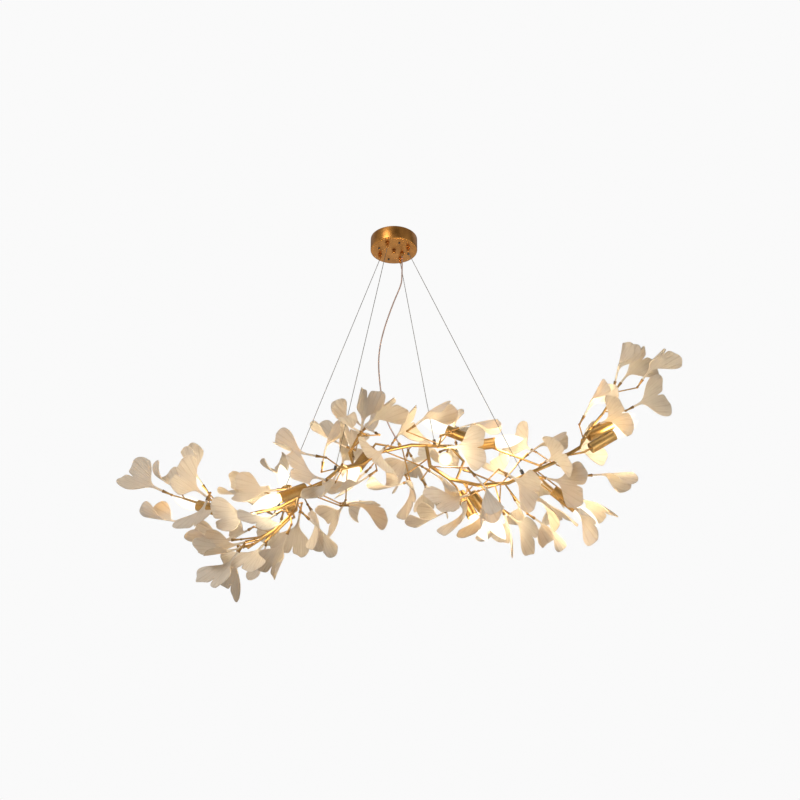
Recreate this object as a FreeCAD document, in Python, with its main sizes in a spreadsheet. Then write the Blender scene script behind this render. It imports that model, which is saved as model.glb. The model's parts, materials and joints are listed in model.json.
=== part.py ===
import FreeCAD, Part
import math
import os
import Sketcher

# Branch chandelier: a ceiling cup, four suspension wires and a power cord carry a brazed brass
# branch, 1.5 m long, with twelve candle lamps and some ninety porcelain ginkgo leaves.
# Millimetres, +Z up. The origin is the centre of the cup's ceiling face, so all of it is below 0.

Vector = FreeCAD.Vector
Rotation = FreeCAD.Rotation
Placement = FreeCAD.Placement
UP = Vector(0, 0, 1)

document = FreeCAD.newDocument("branch_chandelier")

# ---------------------------------------------------------------- driving dimensions

SIZES = (
    ("canopy_diameter", 138.0, "ceiling cup, outside"),
    ("canopy_height", 42.0, "ceiling cup, rim to flat bottom"),
    ("canopy_wall", 1.5, "spun brass"),
    ("plate_clearance", 7.5, "between the steel mounting plate and the cup's inside"),
    ("plate_thickness", 2.0, "steel mounting plate"),
    ("plate_hole_spacing", 70.0, "ceiling screw to ceiling screw"),
    ("plate_hole_diameter", 5.0, "ceiling screws"),
    ("plate_cable_hole", 18.0, "mains cable passes here"),
    ("terminal_length", 32.0, "terminal block"),
    ("terminal_width", 17.0, "terminal block"),
    ("terminal_height", 14.0, "terminal block"),
    ("terminal_gap", 2.0, "from the cable hole's edge to the terminal block"),
    ("ring_radius", 46.0, "circle of the grippers and of the cup's screws"),
    ("gripper_angle", 65.0, "degrees from +X to the first gripper"),
    ("screw_angle", 20.0, "degrees from +X to the first cup screw"),
    ("screw_diameter", 4.0, "cup screws"),
    ("screw_head_diameter", 7.0, "cup screws"),
    ("screw_head_height", 2.0, "cup screws"),
    ("pillar_diameter", 8.0, "hexagonal pillars, across corners"),
    ("fixed_clearance", 0.25, "holes that screws and barrels pass through, per side"),
    ("barrel_diameter", 10.0, "cable gripper barrel"),
    ("barrel_length", 20.0, "cable gripper barrel below and above the cup's bottom"),
    ("barrel_above", 8.0, "part of the barrel that stands inside the cup"),
    ("flange_diameter", 14.0, "gripper flange under the cup"),
    ("flange_thickness", 2.0, "gripper flange under the cup"),
    ("plunger_diameter", 6.0, "release plunger"),
    ("plunger_length", 9.0, "release plunger"),
    ("plunger_showing", 4.0, "plunger below the barrel's mouth"),
    ("plunger_room", 3.0, "free depth above the plunger"),
    ("running_clearance", 0.05, "sliding and turning fits, per side"),
    ("knob_diameter", 12.0, "turned knob in the middle of the cup"),
    ("knob_height", 9.0, "turned knob in the middle of the cup"),
    ("gland_across", 24.0, "cord gland, right of the cup's centre"),
    ("gland_behind", 11.0, "cord gland, behind the cup's centre"),
    ("gland_diameter", 11.0, "cord gland"),
    ("gland_length", 10.0, "cord gland"),
    ("wire_diameter", 1.5, "suspension wire"),
    ("wire_gap", 0.5, "between the plunger's mouth and the wire's turning point"),
    ("clasp_diameter", 9.0, "cup-shaped wire clasp on the branch"),
    ("clasp_length", 13.0, "cup-shaped wire clasp on the branch"),
    ("clasp_bore", 5.0, "room for the wire's end to swing"),
    ("clasp_depth", 9.0, "depth of the clasp's bore"),
    ("clasp_cover", 7.0, "length of wire inside the clasp"),
    ("cord_diameter", 4.0, "round power cord"),
    ("stem_diameter", 10.0, "main stems of the branch"),
    ("branch_diameter", 7.0, "side branches"),
    ("arm_diameter", 6.0, "rods that carry the lamps"),
    ("twig_diameter", 4.0, "rods that carry the leaves"),
    ("socket_diameter", 8.5, "flared leaf socket at a twig's end"),
    ("socket_length", 28.0, "flared leaf socket at a twig's end"),
    ("sleeve_diameter", 30.0, "brass lamp sleeve"),
    ("sleeve_length", 76.0, "brass lamp sleeve"),
    ("sleeve_wall", 1.2, "brass lamp sleeve"),
    ("holder_length", 30.0, "screw lampholder inside the sleeve"),
    ("holder_setback", 7.0, "lampholder's rim inside the sleeve's mouth"),
    ("cap_diameter", 13.6, "small screw cap of a candle lamp"),
    ("cap_length", 22.0, "small screw cap of a candle lamp"),
    ("bulb_diameter", 37.0, "candle lamp's glass"),
    ("bulb_length", 84.0, "candle lamp's glass"),
    ("leaf_length", 118.0, "foot to lobe"),
    ("leaf_width", 136.0, "across both lobes, before the leaf is bent"),
    ("leaf_thickness", 3.0, "blade"),
    ("foot_width", 5.0, "leaf's foot in its socket"),
    ("foot_thickness", 4.6, "leaf's foot in its socket"),
    ("open_bend", 120.0, "bend radius across an open leaf"),
    ("cupped_bend", 58.0, "bend radius across a cupped leaf"),
    ("curled_bend", 33.0, "bend radius across a curled leaf"),
    ("branch_length", 1500.0, "the whole branch, from its left leaves to its right ones"),
    ("eye_height", 1880.0, "the eye's depth below the ceiling"),
    ("eye_distance", 2714.0, "the eye's distance in front of the cup"),
    ("eye_across", 18.0, "the eye's place to the right of the cup"),
    ("eye_tilt", 26.4, "degrees that the eye looks up"),
    ("board_distance", 2970.0, "eye to the drawing board, along its line of sight"),
)

sheet = document.addObject("Spreadsheet::Sheet", "Sizes")
for row, (alias, value, note) in enumerate(SIZES, start=1):
    sheet.set(f"A{row}", alias)
    sheet.set(f"B{row}", str(value))
    sheet.set(f"C{row}", note)
    sheet.setAlias(f"B{row}", alias)
document.recompute()


def size(alias):
    """A driving dimension, read from the sheet."""
    return float(getattr(sheet, alias))


# ---------------------------------------------------------------- the drawing board
# The branch was laid out from below, as it is seen: every spot is given in steps across
# and up on a board that stands square to the line of sight, and by how far behind the middle
# of the chandelier the piece really hangs. sight() follows the line from the eye to there.

EYE = Vector(size("eye_across"), -size("eye_distance"), -size("eye_height"))
TILT = math.radians(size("eye_tilt"))
FORWARD = Vector(0, math.cos(TILT), math.sin(TILT))
BOARD_UP = Vector(0, -math.sin(TILT), math.cos(TILT))
BOARD_ACROSS = Vector(1, 0, 0)
STEP = size("branch_length") / 1500  # one step of the board, 1 mm on a branch of 1.5 m


def sight(across, up, behind):
    """The point with y = behind that is seen at this spot of the board, across and up in steps."""
    ray = FORWARD * size("board_distance") + (BOARD_ACROSS * across + BOARD_UP * up) * STEP
    return EYE + ray * ((behind - EYE.y) / ray.y)


def spots(*rows):
    """Points in space for a row of board spots."""
    return [sight(*row) for row in rows]


# ---------------------------------------------------------------- ways of making a piece

FLATNESS = 1e-6  # how far a corner may stand off a flat side
ALIASES = {alias for alias, value, note in SIZES}
nodes = {}


def keep(label, piece):
    """Give a finished piece its name."""
    piece.Label = label
    nodes[label] = piece
    return piece


def plane(body, role):
    """One of a body's own origin planes or axes."""
    return next(part for part in body.Origin.OriginFeatures if part.Role == role)


def new_body(label):
    """An empty PartDesign body."""
    return document.addObject("PartDesign::Body", label)


def new_sketch(body, role, name):
    """A sketch on one of the body's origin planes."""
    sketch = body.newObject("Sketcher::SketchObject", name)
    sketch.AttachmentSupport = (plane(body, role), [""])
    sketch.MapMode = "FlatFace"
    return sketch


def scoped(formula):
    """The formula with each of its aliases read from the sheet."""
    return " ".join(f"Sizes.{word}" if word in ALIASES else word for word in formula.split())


def bind_point(sketch, line, across, up):
    """Tie the start of a line to two formulas of the sheet, measured from the origin."""
    for kind, formula, axis in (("DistanceX", across, -2), ("DistanceY", up, -1)):
        if formula == "0":
            sketch.addConstraint(Sketcher.Constraint("PointOnObject", line, 1, axis))
            continue
        value = float(sheet.evalExpression(formula))
        index = sketch.addConstraint(Sketcher.Constraint(kind, -1, 1, line, 1, value))
        sketch.setExpression(f"Constraints[{index}]", scoped(formula))


def closed_lines(sketch, corners):
    """A closed outline of straight lines through corners, each a pair of formulas."""
    points = [
        Vector(float(sheet.evalExpression(a)), float(sheet.evalExpression(b)), 0)
        for a, b in corners
    ]
    for start, end in zip(points, points[1:] + points[:1]):
        sketch.addGeometry(Part.LineSegment(start, end), False)
    for line in range(len(points)):
        after = (line + 1) % len(points)
        sketch.addConstraint(Sketcher.Constraint("Coincident", line, 2, after, 1))
        bind_point(sketch, line, *corners[line])


def turned(label, corners):
    """A lathe-turned body: corners of half its section, as (radius, height) formulas."""
    body = new_body(label)
    sketch = new_sketch(body, "XZ_Plane", label + "_section")
    closed_lines(sketch, corners)
    turn = body.newObject("PartDesign::Revolution", label + "_turn")
    turn.Profile = sketch
    turn.ReferenceAxis = (sketch, ["V_Axis"])
    turn.Angle = 360.0
    document.recompute()
    return body


def drilled(body, name, diameter, across, behind):
    """A round hole right through a body, parallel to its Z axis."""
    sketch = new_sketch(body, "XY_Plane", name + "_spot")
    centre = Vector(float(sheet.evalExpression(across)), float(sheet.evalExpression(behind)), 0)
    radius = float(sheet.evalExpression(diameter)) / 2
    sketch.addGeometry(Part.Circle(centre, UP, radius), False)
    index = sketch.addConstraint(Sketcher.Constraint("Diameter", 0, 2 * radius))
    sketch.setExpression(f"Constraints[{index}]", scoped(diameter))
    for kind, formula, axis in (("DistanceX", across, -2), ("DistanceY", behind, -1)):
        if formula == "0":
            sketch.addConstraint(Sketcher.Constraint("PointOnObject", 0, 3, axis))
            continue
        value = float(sheet.evalExpression(formula))
        index = sketch.addConstraint(Sketcher.Constraint(kind, -1, 1, 0, 3, value))
        sketch.setExpression(f"Constraints[{index}]", scoped(formula))
    hole = body.newObject("PartDesign::Pocket", name)
    hole.Profile = sketch
    hole.Type = "ThroughAll"
    hole.Midplane = True
    document.recompute()
    return hole


def ring_of(body, feature, count):
    """Repeat a feature evenly round the body's Z axis."""
    pattern = body.newObject("PartDesign::PolarPattern", feature.Name + "_ring")
    pattern.Originals = [feature]
    pattern.Axis = (plane(body, "Z_Axis"), [""])
    pattern.Angle = 360.0
    pattern.Occurrences = count
    body.Tip = pattern
    document.recompute()


def group(label, solids):
    """A node of several separate solids."""
    piece = document.addObject("Part::Feature", label)
    piece.Shape = Part.Compound(solids)
    return keep(label, piece)


def placed(shape, point, turn=None):
    """A copy of a shape, turned about its origin and then moved there."""
    copy = shape.copy()
    copy.Placement = Placement(point, turn or Rotation())
    return copy


def on_ring(angle, count=4):
    """Evenly spaced points on the ring of the cup's bottom, from an angle in degrees."""
    radius = size("ring_radius")
    steps = [math.radians(angle + 360.0 * step / count) for step in range(count)]
    return [Vector(radius * math.cos(a), radius * math.sin(a), 0) for a in steps]


def side_faces(a, b, c, d):
    """One flat face through four corners, or two where they don't lie in one plane."""
    across = (b - a).cross(c - a).normalize()
    if abs((d - a).dot(across)) < FLATNESS:
        return [Part.Face(Part.makePolygon([a, b, c, d, a]))]
    return [Part.Face(Part.makePolygon(ring)) for ring in ([a, b, c, a], [a, c, d, a])]


def faceted(rings):
    """A solid between rings of corner points: flat sides, and its first and last ring closed."""
    count = len(rings[0])
    faces = [Part.Face(Part.makePolygon(rings[0] + rings[0][:1]))]
    faces.append(Part.Face(Part.makePolygon(rings[-1] + rings[-1][:1])))
    for near, far in zip(rings, rings[1:]):
        for corner in range(count):
            after = (corner + 1) % count
            faces += side_faces(near[corner], near[after], far[after], far[corner])
    solid = Part.Solid(Part.Shell(faces))
    if solid.Volume < 0:
        solid.reverse()
    return solid


def spun(corners, sides):
    """A many-sided turned piece through (radius, height) corners, closed at both ends."""
    angles = [2 * math.pi * side / sides for side in range(sides)]
    rings = [
        [Vector(radius * math.cos(a), radius * math.sin(a), height) for a in angles]
        for radius, height in corners
    ]
    return faceted(rings)


def clear_of(radius, sides):
    """Corner radius of a many-sided bore whose flats clear a round piece of this radius."""
    return radius / math.cos(math.pi / sides)


def rod(points, radii, sides):
    """A many-sided rod through points, mitred at each bend; radii are given for each point."""
    along = [(b - a).normalize() for a, b in zip(points, points[1:])]
    helper = UP if abs(along[0].dot(UP)) < 0.9 else Vector(1, 0, 0)
    first = along[0].cross(helper).normalize()
    second = along[0].cross(first).normalize()
    angles = [2 * math.pi * (corner + 0.5) / sides for corner in range(sides)]
    corners = [first * math.cos(a) + second * math.sin(a) for a in angles]
    rings = [[points[0] + corner * radii[0] for corner in corners]]
    for spot in range(1, len(points)):
        run = along[spot - 1]
        after = along[min(spot, len(along) - 1)]
        mitre = (run + after).normalize()
        ring = []
        for corner in corners:
            start = points[spot] + corner * radii[spot]
            ring.append(start - run * ((start - points[spot]).dot(mitre) / run.dot(mitre)))
        rings.append(ring)
        if (after - run).Length > FLATNESS:
            turn = Rotation(run, after)
            corners = [turn.multVec(corner) for corner in corners]
    return faceted(rings)


def bent(points):
    """A path of straight runs joined by tangent arcs, each as large as its two runs allow."""
    edges = []
    here = points[0]
    radii = []
    for before, corner, after in zip(points, points[1:], points[2:]):
        into = (corner - before).normalize()
        out = (after - corner).normalize()
        half = into.getAngle(out) / 2
        reach = 0.45 * min((corner - before).Length, (after - corner).Length)
        radii.append(reach / math.tan(half))
        start = corner - into * reach
        end = corner + out * reach
        inward = (out - into).normalize()
        middle = corner + inward * (radii[-1] / math.cos(half) - radii[-1])
        edges.append(Part.LineSegment(here, start).toShape())
        edges.append(Part.Arc(start, middle, end).toShape())
        here = end
    edges.append(Part.LineSegment(here, points[-1]).toShape())
    return Part.Wire(edges), radii


# ---------------------------------------------------------------- ceiling cup and its fittings

cup = turned(
    "canopy_cup",
    (
        ("0", "0"),
        ("canopy_diameter / 2", "0"),
        ("canopy_diameter / 2", "canopy_height"),
        ("canopy_diameter / 2 - canopy_wall", "canopy_height"),
        ("canopy_diameter / 2 - canopy_wall", "canopy_wall"),
        ("0", "canopy_wall"),
    ),
)
gripper_hole = drilled(
    cup,
    "gripper_hole",
    "barrel_diameter + 2 * fixed_clearance",
    "ring_radius * cos( gripper_angle * 1 deg )",
    "ring_radius * sin( gripper_angle * 1 deg )",
)
ring_of(cup, gripper_hole, 4)
screw_hole = drilled(
    cup,
    "screw_hole",
    "screw_diameter + 2 * fixed_clearance",
    "ring_radius * cos( screw_angle * 1 deg )",
    "ring_radius * sin( screw_angle * 1 deg )",
)
ring_of(cup, screw_hole, 4)
cup.setExpression("Placement.Base.z", "-Sizes.canopy_height")
keep("canopy_cup", cup)

mounting_plate = turned(
    "mounting_plate",
    (
        ("plate_cable_hole / 2", "0"),
        ("canopy_diameter / 2 - canopy_wall - plate_clearance", "0"),
        ("canopy_diameter / 2 - canopy_wall - plate_clearance", "plate_thickness"),
        ("plate_cable_hole / 2", "plate_thickness"),
    ),
)
ceiling_hole = drilled(
    mounting_plate, "ceiling_hole", "plate_hole_diameter", "plate_hole_spacing / 2", "0"
)
ring_of(mounting_plate, ceiling_hole, 2)
mounting_plate.setExpression("Placement.Base.z", "-Sizes.plate_thickness")
keep("mounting_plate", mounting_plate)

cup_bottom = -size("canopy_height")
cup_floor = cup_bottom + size("canopy_wall")
plate_bottom = -size("plate_thickness")

pillar = document.addObject("Part::Prism", "pillar")
pillar.Polygon = 6
pillar.setExpression("Circumradius", "Sizes.pillar_diameter / 2")
pillar.setExpression(
    "Height", "Sizes.canopy_height - Sizes.canopy_wall - Sizes.plate_thickness"
)
SMALL_SIDES = 8  # sides of the small turned pieces that repeat
head = size("screw_head_diameter") / 2
head_top = size("screw_head_height")
shank = size("screw_diameter") / 2
cup_screw = spun(
    (
        (head * 0.6, 0),
        (head, head_top * 0.5),
        (head, head_top),
        (shank, head_top),
        (shank, head_top + size("canopy_wall")),
    ),
    SMALL_SIDES,
)
document.recompute()
screw_spots = on_ring(size("screw_angle"))
group(
    "cup_pillars",
    [placed(pillar.Shape, spot + UP * cup_floor) for spot in screw_spots],
)
group(
    "cup_screws",
    [
        placed(cup_screw, spot + UP * (cup_bottom - size("screw_head_height")))
        for spot in screw_spots
    ],
)

terminal_block = document.addObject("Part::Box", "terminal_block")
terminal_block.setExpression("Length", "Sizes.terminal_length")
terminal_block.setExpression("Width", "Sizes.terminal_width")
terminal_block.setExpression("Height", "Sizes.terminal_height")
terminal_block.Placement.Base = Vector(
    -size("terminal_length") / 2,
    size("plate_cable_hole") / 2 + size("terminal_gap"),
    plate_bottom - size("terminal_height"),
)
keep("terminal_block", terminal_block)

barrel_radius = size("barrel_diameter") / 2
flange_radius = size("flange_diameter") / 2
plunger_radius = size("plunger_diameter") / 2
flange_top = size("barrel_length") - size("barrel_above")
flange_foot = flange_top - size("flange_thickness")
bore_radius = clear_of(plunger_radius + size("running_clearance"), SMALL_SIDES)
bore_top = size("plunger_length") - size("plunger_showing") + size("plunger_room")
barrel = spun(
    (
        (bore_radius, bore_top),
        (bore_radius, 0),
        (barrel_radius, 0),
        (barrel_radius, flange_foot),
        (flange_radius, flange_foot),
        (flange_radius, flange_top),
        (barrel_radius, flange_top),
        (barrel_radius, size("barrel_length")),
    ),
    SMALL_SIDES,
)
plunger = spun(((plunger_radius, 0), (plunger_radius, size("plunger_length"))), SMALL_SIDES)
gripper_spots = on_ring(size("gripper_angle"))
barrel_mouth = cup_bottom - size("barrel_length") + size("barrel_above")
plunger_foot = barrel_mouth - size("plunger_showing")
group(
    "gripper_barrels",
    [placed(barrel, spot + UP * barrel_mouth) for spot in gripper_spots],
)
for number, spot in enumerate(gripper_spots, start=1):
    group(f"gripper_plunger_{number}", [placed(plunger, spot + UP * plunger_foot)])

centre_knob = turned(
    "centre_knob",
    (
        ("0", "0"),
        ("knob_diameter / 2 * 0.7", "0"),
        ("knob_diameter / 2", "knob_height * 0.3"),
        ("knob_diameter / 2", "knob_height * 0.6"),
        ("knob_diameter / 2 * 0.5", "knob_height"),
        ("0", "knob_height"),
    ),
)
centre_knob.setExpression("Placement.Base.z", "-Sizes.canopy_height - Sizes.knob_height")
keep("centre_knob", centre_knob)

cord_gland = turned(
    "cord_gland",
    (
        ("0", "0"),
        ("cord_diameter / 2 + 1", "0"),
        ("gland_diameter / 2", "gland_length * 0.7"),
        ("gland_diameter / 2", "gland_length"),
        ("0", "gland_length"),
    ),
)
cord_gland.setExpression("Placement.Base.x", "Sizes.gland_across")
cord_gland.setExpression("Placement.Base.y", "Sizes.gland_behind")
cord_gland.setExpression("Placement.Base.z", "-Sizes.canopy_height - Sizes.gland_length")
keep("cord_gland", cord_gland)

# ---------------------------------------------------------------- routes of the branch
# Each row is across, up, behind on the drawing board, from the thick end.

ROUTES = {
    "stem_left": spots(
        (135, -125, 49),
        (30, -122, 30),
        (-51, -140, 0),
        (-103, -173, -30),
        (-165, -188, -48),
        (-221, -234, -20),
        (-323, -289, 19),
        (-432, -314, 24),
        (-526, -284, 14),
        (-586, -265, 6),
    ),
    "stem_right": spots(
        (24, -145, 16),
        (81, -178, 8),
        (135, -214, 0),
        (211, -230, -10),
        (292, -224, -18),
        (351, -197, -20),
        (421, -167, -10),
        (486, -128, 0),
    ),
    "broom_front": spots(
        (-204, -226, -40),
        (-281, -297, -58),
        (-338, -351, -66),
        (-412, -400, -74),
    ),
    "broom_back": spots((-232, -250, -4), (-296, -318, 30), (-345, -366, 40)),
    "crown": spots((-157, -178, -42), (-137, -143, -44), (-112, -98, -46)),
    "right_tip": spots((440, -146, 30), (498, -96, 64), (548, -36, 66), (588, 28, 50)),
    "link": spots((140, -140, 44), (172, -166, 30), (205, -205, 0)),
    "middle_up": spots((60, -118, 33), (110, -96, 12), (142, -88, -4)),
}
THICK = size("stem_diameter") / 2
SIDE = size("branch_diameter") / 2
ARM = size("arm_diameter") / 2
TWIG = size("twig_diameter") / 2
ARM_LEAD = 20.0
TAPER = (1, 1, 1, 1, 1, 1, 0.9, 0.7, 0.6, 0.5)
ROUTE_RADII = {
    "stem_left": [THICK * share for share in TAPER],
    "stem_right": [THICK] * len(ROUTES["stem_right"]),
}
for name, route in ROUTES.items():
    ROUTE_RADII.setdefault(name, [SIDE] * len(route))
TRAIL = 0.9  # how far back along its route a rod starts, as a share of its distance from it
STEEPEST = 0.05  # limit for rods that leave almost along their route
ALONG = 0.6  # a rod that points along its route's end at least this much starts on the end face
END_MARGIN = 0.04  # share of a run that is kept free of joints at each of its ends
STEM_SIDES = 10
BRANCH_SIDES = 8
ARM_SIDES = 6
TWIG_SIDES = 5


def nearest(name, point):
    """The nearest spot on a named route: distance, the spot, the run's direction, radius, at its tip."""
    route = ROUTES[name]
    radii = ROUTE_RADII[name]
    found = []
    for spot, (a, b) in enumerate(zip(route, route[1:])):
        run = b - a
        share = (point - a).dot(run) / run.dot(run)
        tip = (share > 1 and spot == len(route) - 2) or (share < 0 and spot == 0)
        margin = 0 if tip else END_MARGIN
        share = max(margin, min(1 - margin, share))
        foot = a + run * share
        radius = radii[spot] * (1 - share) + radii[spot + 1] * share
        found.append(((point - foot).Length, foot, run.normalize(), radius, tip))
    return min(found, key=lambda entry: entry[0])


def on_surface(name, target, own_radius, direction=None):
    """Where a rod starts on a named route, on its way to target, to come in there along direction."""
    distance, foot, run, radius, tip = nearest(name, target)
    if direction is not None:
        trail = target - direction * (distance * TRAIL)
        distance, foot, run, radius, tip = nearest(name, trail)
    away = (target - foot).normalize()
    flat = abs(away.dot(run))
    lean = math.sqrt(max(STEEPEST, 1 - flat ** 2))
    if tip and flat > ALONG:
        return foot + away * (own_radius * lean / flat)
    return foot + away * ((radius + own_radius * flat) / lean)


ROUTES["stem_right"][0] = on_surface("stem_left", ROUTES["stem_right"][1], THICK)
for name in ("stem_left", "stem_right"):
    group(name, [rod(ROUTES[name], ROUTE_RADII[name], STEM_SIDES)])
side_rods = []
for name, carrier in (
    ("broom_front", "stem_left"),
    ("broom_back", "stem_left"),
    ("crown", "stem_left"),
    ("right_tip", "stem_right"),
    ("middle_up", "stem_left"),
    ("link", "stem_left"),
):
    ROUTES[name][0] = on_surface(carrier, ROUTES[name][1], SIDE)
    if name == "link":
        ROUTES[name][-1] = on_surface("stem_right", ROUTES[name][1], SIDE)
    side_rods.append(rod(ROUTES[name], ROUTE_RADII[name], BRANCH_SIDES))
group("side_branches", side_rods)

# ---------------------------------------------------------------- suspension wires and clasps
# Each wire leads from its own gripper to a clasp on a main stem, at the spot of the stem that is
# as far behind as the gripper, so that all four swing together in upright planes.
# Each row: the gripper, counted round the cup, the stem, and roughly how far to the right.

WIRES = {
    1: (2, "stem_left", -290),
    2: (3, "stem_left", -145),
    3: (1, "stem_left", 100),
    4: (4, "stem_right", 350),
}


def level_spot(name, behind, across):
    """The spot of a route with y = behind, or as near that as it gets, that is nearest to x = across."""
    route = ROUTES[name]
    found = []
    for a, b in zip(route, route[1:]):
        share = (behind - a.y) / (b.y - a.y) if a.y != b.y else 0
        found.append(a + (b - a) * max(0, min(1, share)))
    return min(found, key=lambda spot: (round(abs(spot.y - behind), 3), abs(spot.x - across)))


clasp_radius = size("clasp_diameter") / 2
clasp_foot = clasp_radius * 0.6
clasp_floor = size("clasp_length") - size("clasp_depth")
clasp = spun(
    (
        (clasp_foot, 0),
        (clasp_radius, clasp_floor / 2),
        (clasp_radius, size("clasp_length")),
        (size("clasp_bore") / 2, size("clasp_length")),
        (size("clasp_bore") / 2, clasp_floor),
    ),
    SMALL_SIDES,
)
clasps = []
for number, (gripper, stem, across) in WIRES.items():
    top = gripper_spots[gripper - 1] + UP * (plunger_foot - size("wire_gap"))
    seat = level_spot(stem, top.y, across * STEP)
    distance, spot, run, radius, tip = nearest(stem, seat)
    upward = (top - seat).normalize()
    flat = abs(upward.dot(run))
    base = seat + upward * ((radius + clasp_foot * flat) / math.sqrt(1 - flat ** 2))
    foot = base + upward * (size("clasp_length") - size("clasp_cover"))
    wire = document.addObject("Part::Prism", f"wire_{number}")
    wire.Polygon = 8
    wire.setExpression("Circumradius", "Sizes.wire_diameter / 2")
    wire.Height = (foot - top).Length
    wire.Placement = Placement(top, Rotation(UP, foot - top))
    keep(f"wire_{number}", wire)
    clasps.append(placed(clasp, base, Rotation(UP, upward)))
    print(f"wire_{number} top", [round(c, 3) for c in top], "foot", [round(c, 2) for c in foot])
group("wire_clasps", clasps)

# ---------------------------------------------------------------- lamps
# Each row: the route that carries it, the middle of the sleeve's base, and a spot that it
# points at, both on the drawing board.

LAMPS = (
    ("stem_left", (-481, -302, 62), (-548, -284, 82)),
    ("stem_left", (-254, -238, -64), (-321, -262, -82)),
    ("broom_back", (-290, -300, 74), (-305, -243, 84)),
    ("stem_left", (-76, -132, 35), (-105, -170, 25)),
    ("stem_right", (194, -108, 76), (132, -84, 80)),
    ("stem_left", (122, -160, 48), (122, -160, -26)),
    ("stem_left", (184, -126, 45), (240, -118, 33)),
    ("stem_right", (160, -250, 34), (184, -292, 34)),
    ("stem_right", (192, -252, -20), (225, -296, -20)),
    ("stem_right", (413, -243, 4), (451, -273, 12)),
    ("right_tip", (508, -99, 10), (568, -70, 14)),
    ("stem_right", (514, -131, -30), (576, -95, -34)),
)

LAMP_SIDES = 10
sleeve_radius = size("sleeve_diameter") / 2
sleeve_bore = sleeve_radius - size("sleeve_wall")
sleeve = spun(
    (
        (sleeve_radius, 0),
        (sleeve_radius, size("sleeve_length")),
        (sleeve_bore, size("sleeve_length")),
        (sleeve_bore, size("sleeve_wall")),
    ),
    LAMP_SIDES,
)
cap_radius = size("cap_diameter") / 2
holder_bore = clear_of(cap_radius + size("running_clearance"), LAMP_SIDES)
holder_floor = size("holder_length") - size("cap_length") - 1
holder = spun(
    (
        (sleeve_bore, 0),
        (sleeve_bore, size("holder_length")),
        (holder_bore, size("holder_length")),
        (holder_bore, holder_floor),
    ),
    LAMP_SIDES,
)
# the glass, as shares of its length and of its largest radius
BULB_SHAPE = ((0.0, 0.46), (0.2, 0.86), (0.42, 1.0), (0.74, 0.76), (1.0, 0.1))


def lamp_solids():
    """Screw cap and glass of one candle lamp, cap's end at the origin, pointing up."""
    cap = spun(((cap_radius, 0), (cap_radius, size("cap_length"))), LAMP_SIDES)
    corners = [
        (swell * size("bulb_diameter") / 2, size("cap_length") + share * size("bulb_length"))
        for share, swell in BULB_SHAPE
    ]
    return [cap, spun(corners, LAMP_SIDES)]


sleeves, holders, arms = [], [], []
holder_foot = size("sleeve_length") - size("holder_setback") - size("holder_length")
holder_foot -= size("running_clearance")
cap_foot = size("sleeve_length") - size("holder_setback") - size("cap_length")
for number, (carrier, base_spot, aim_spot) in enumerate(LAMPS, start=1):
    base = sight(*base_spot)
    pointing = (sight(*aim_spot) - base).normalize()
    turn = Rotation(UP, pointing)
    sleeves.append(placed(sleeve, base, turn))
    holders.append(placed(holder, base + pointing * holder_foot, turn))
    knee = base - pointing * ARM_LEAD
    arms.append(rod([on_surface(carrier, knee, ARM, pointing), knee, base], [ARM] * 3, ARM_SIDES))
    glass = [placed(shape, base + pointing * cap_foot, turn) for shape in lamp_solids()]
    group(f"bulb_{number}", glass)
    print(f"bulb_{number} axis", [round(c, 4) for c in base], [round(c, 8) for c in pointing])
group("lamp_sleeves", sleeves)
group("lampholders", holders)
group("lamp_arms", arms)

# ---------------------------------------------------------------- ginkgo leaves
# A leaf lies along +Y from its foot and bends round a line beside it, so that its hollow side
# faces +Z. Right half of its outline, as shares of length and of half the width.

STALK = ((0.0, None), (0.24, None), (0.4, 0.22))
LOBE = ((0.55, 0.7), (0.74, 1.0), (0.99, 0.6))
NOTCH = 0.83
STALK_SWELL = 1.2
CURL = {"open": 0.10, "cupped": 0.16, "curled": 0.05}
BEND = {kind: size(kind + "_bend") for kind in CURL}


def bent_spot(kind, across, along, lift):
    """A spot of the flat leaf on the bent one, lifted off its middle surface."""
    radius = BEND[kind]
    angle = across / radius
    rise = CURL[kind] * size("leaf_length") * (along / size("leaf_length")) ** 2
    reach = radius - lift
    return Vector(reach * math.sin(angle), along, radius - reach * math.cos(angle) + rise)


def leaf_side(kind, lift_foot, lift_blade):
    """Corner points of one side of a leaf: centre line and right half, by name."""
    length = size("leaf_length")
    half_foot = size("foot_width") / 2
    half_leaf = size("leaf_width") / 2
    right = []
    for spot, (along, across) in enumerate(STALK):
        reach = half_leaf * across if across else half_foot * STALK_SWELL ** spot
        lift = lift_foot if spot < 2 else lift_blade
        right.append((reach, along * length, lift))
    right += [(across * half_leaf, along * length, lift_blade) for along, across in LOBE]
    rim = [bent_spot(kind, *spot) for spot in right]
    left = [bent_spot(kind, -across, along, lift) for across, along, lift in right]
    heart = bent_spot(kind, 0, STALK[2][0] * length, lift_blade)
    notch = bent_spot(kind, 0, NOTCH * length, lift_blade)
    return rim, left, heart, notch


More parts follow.
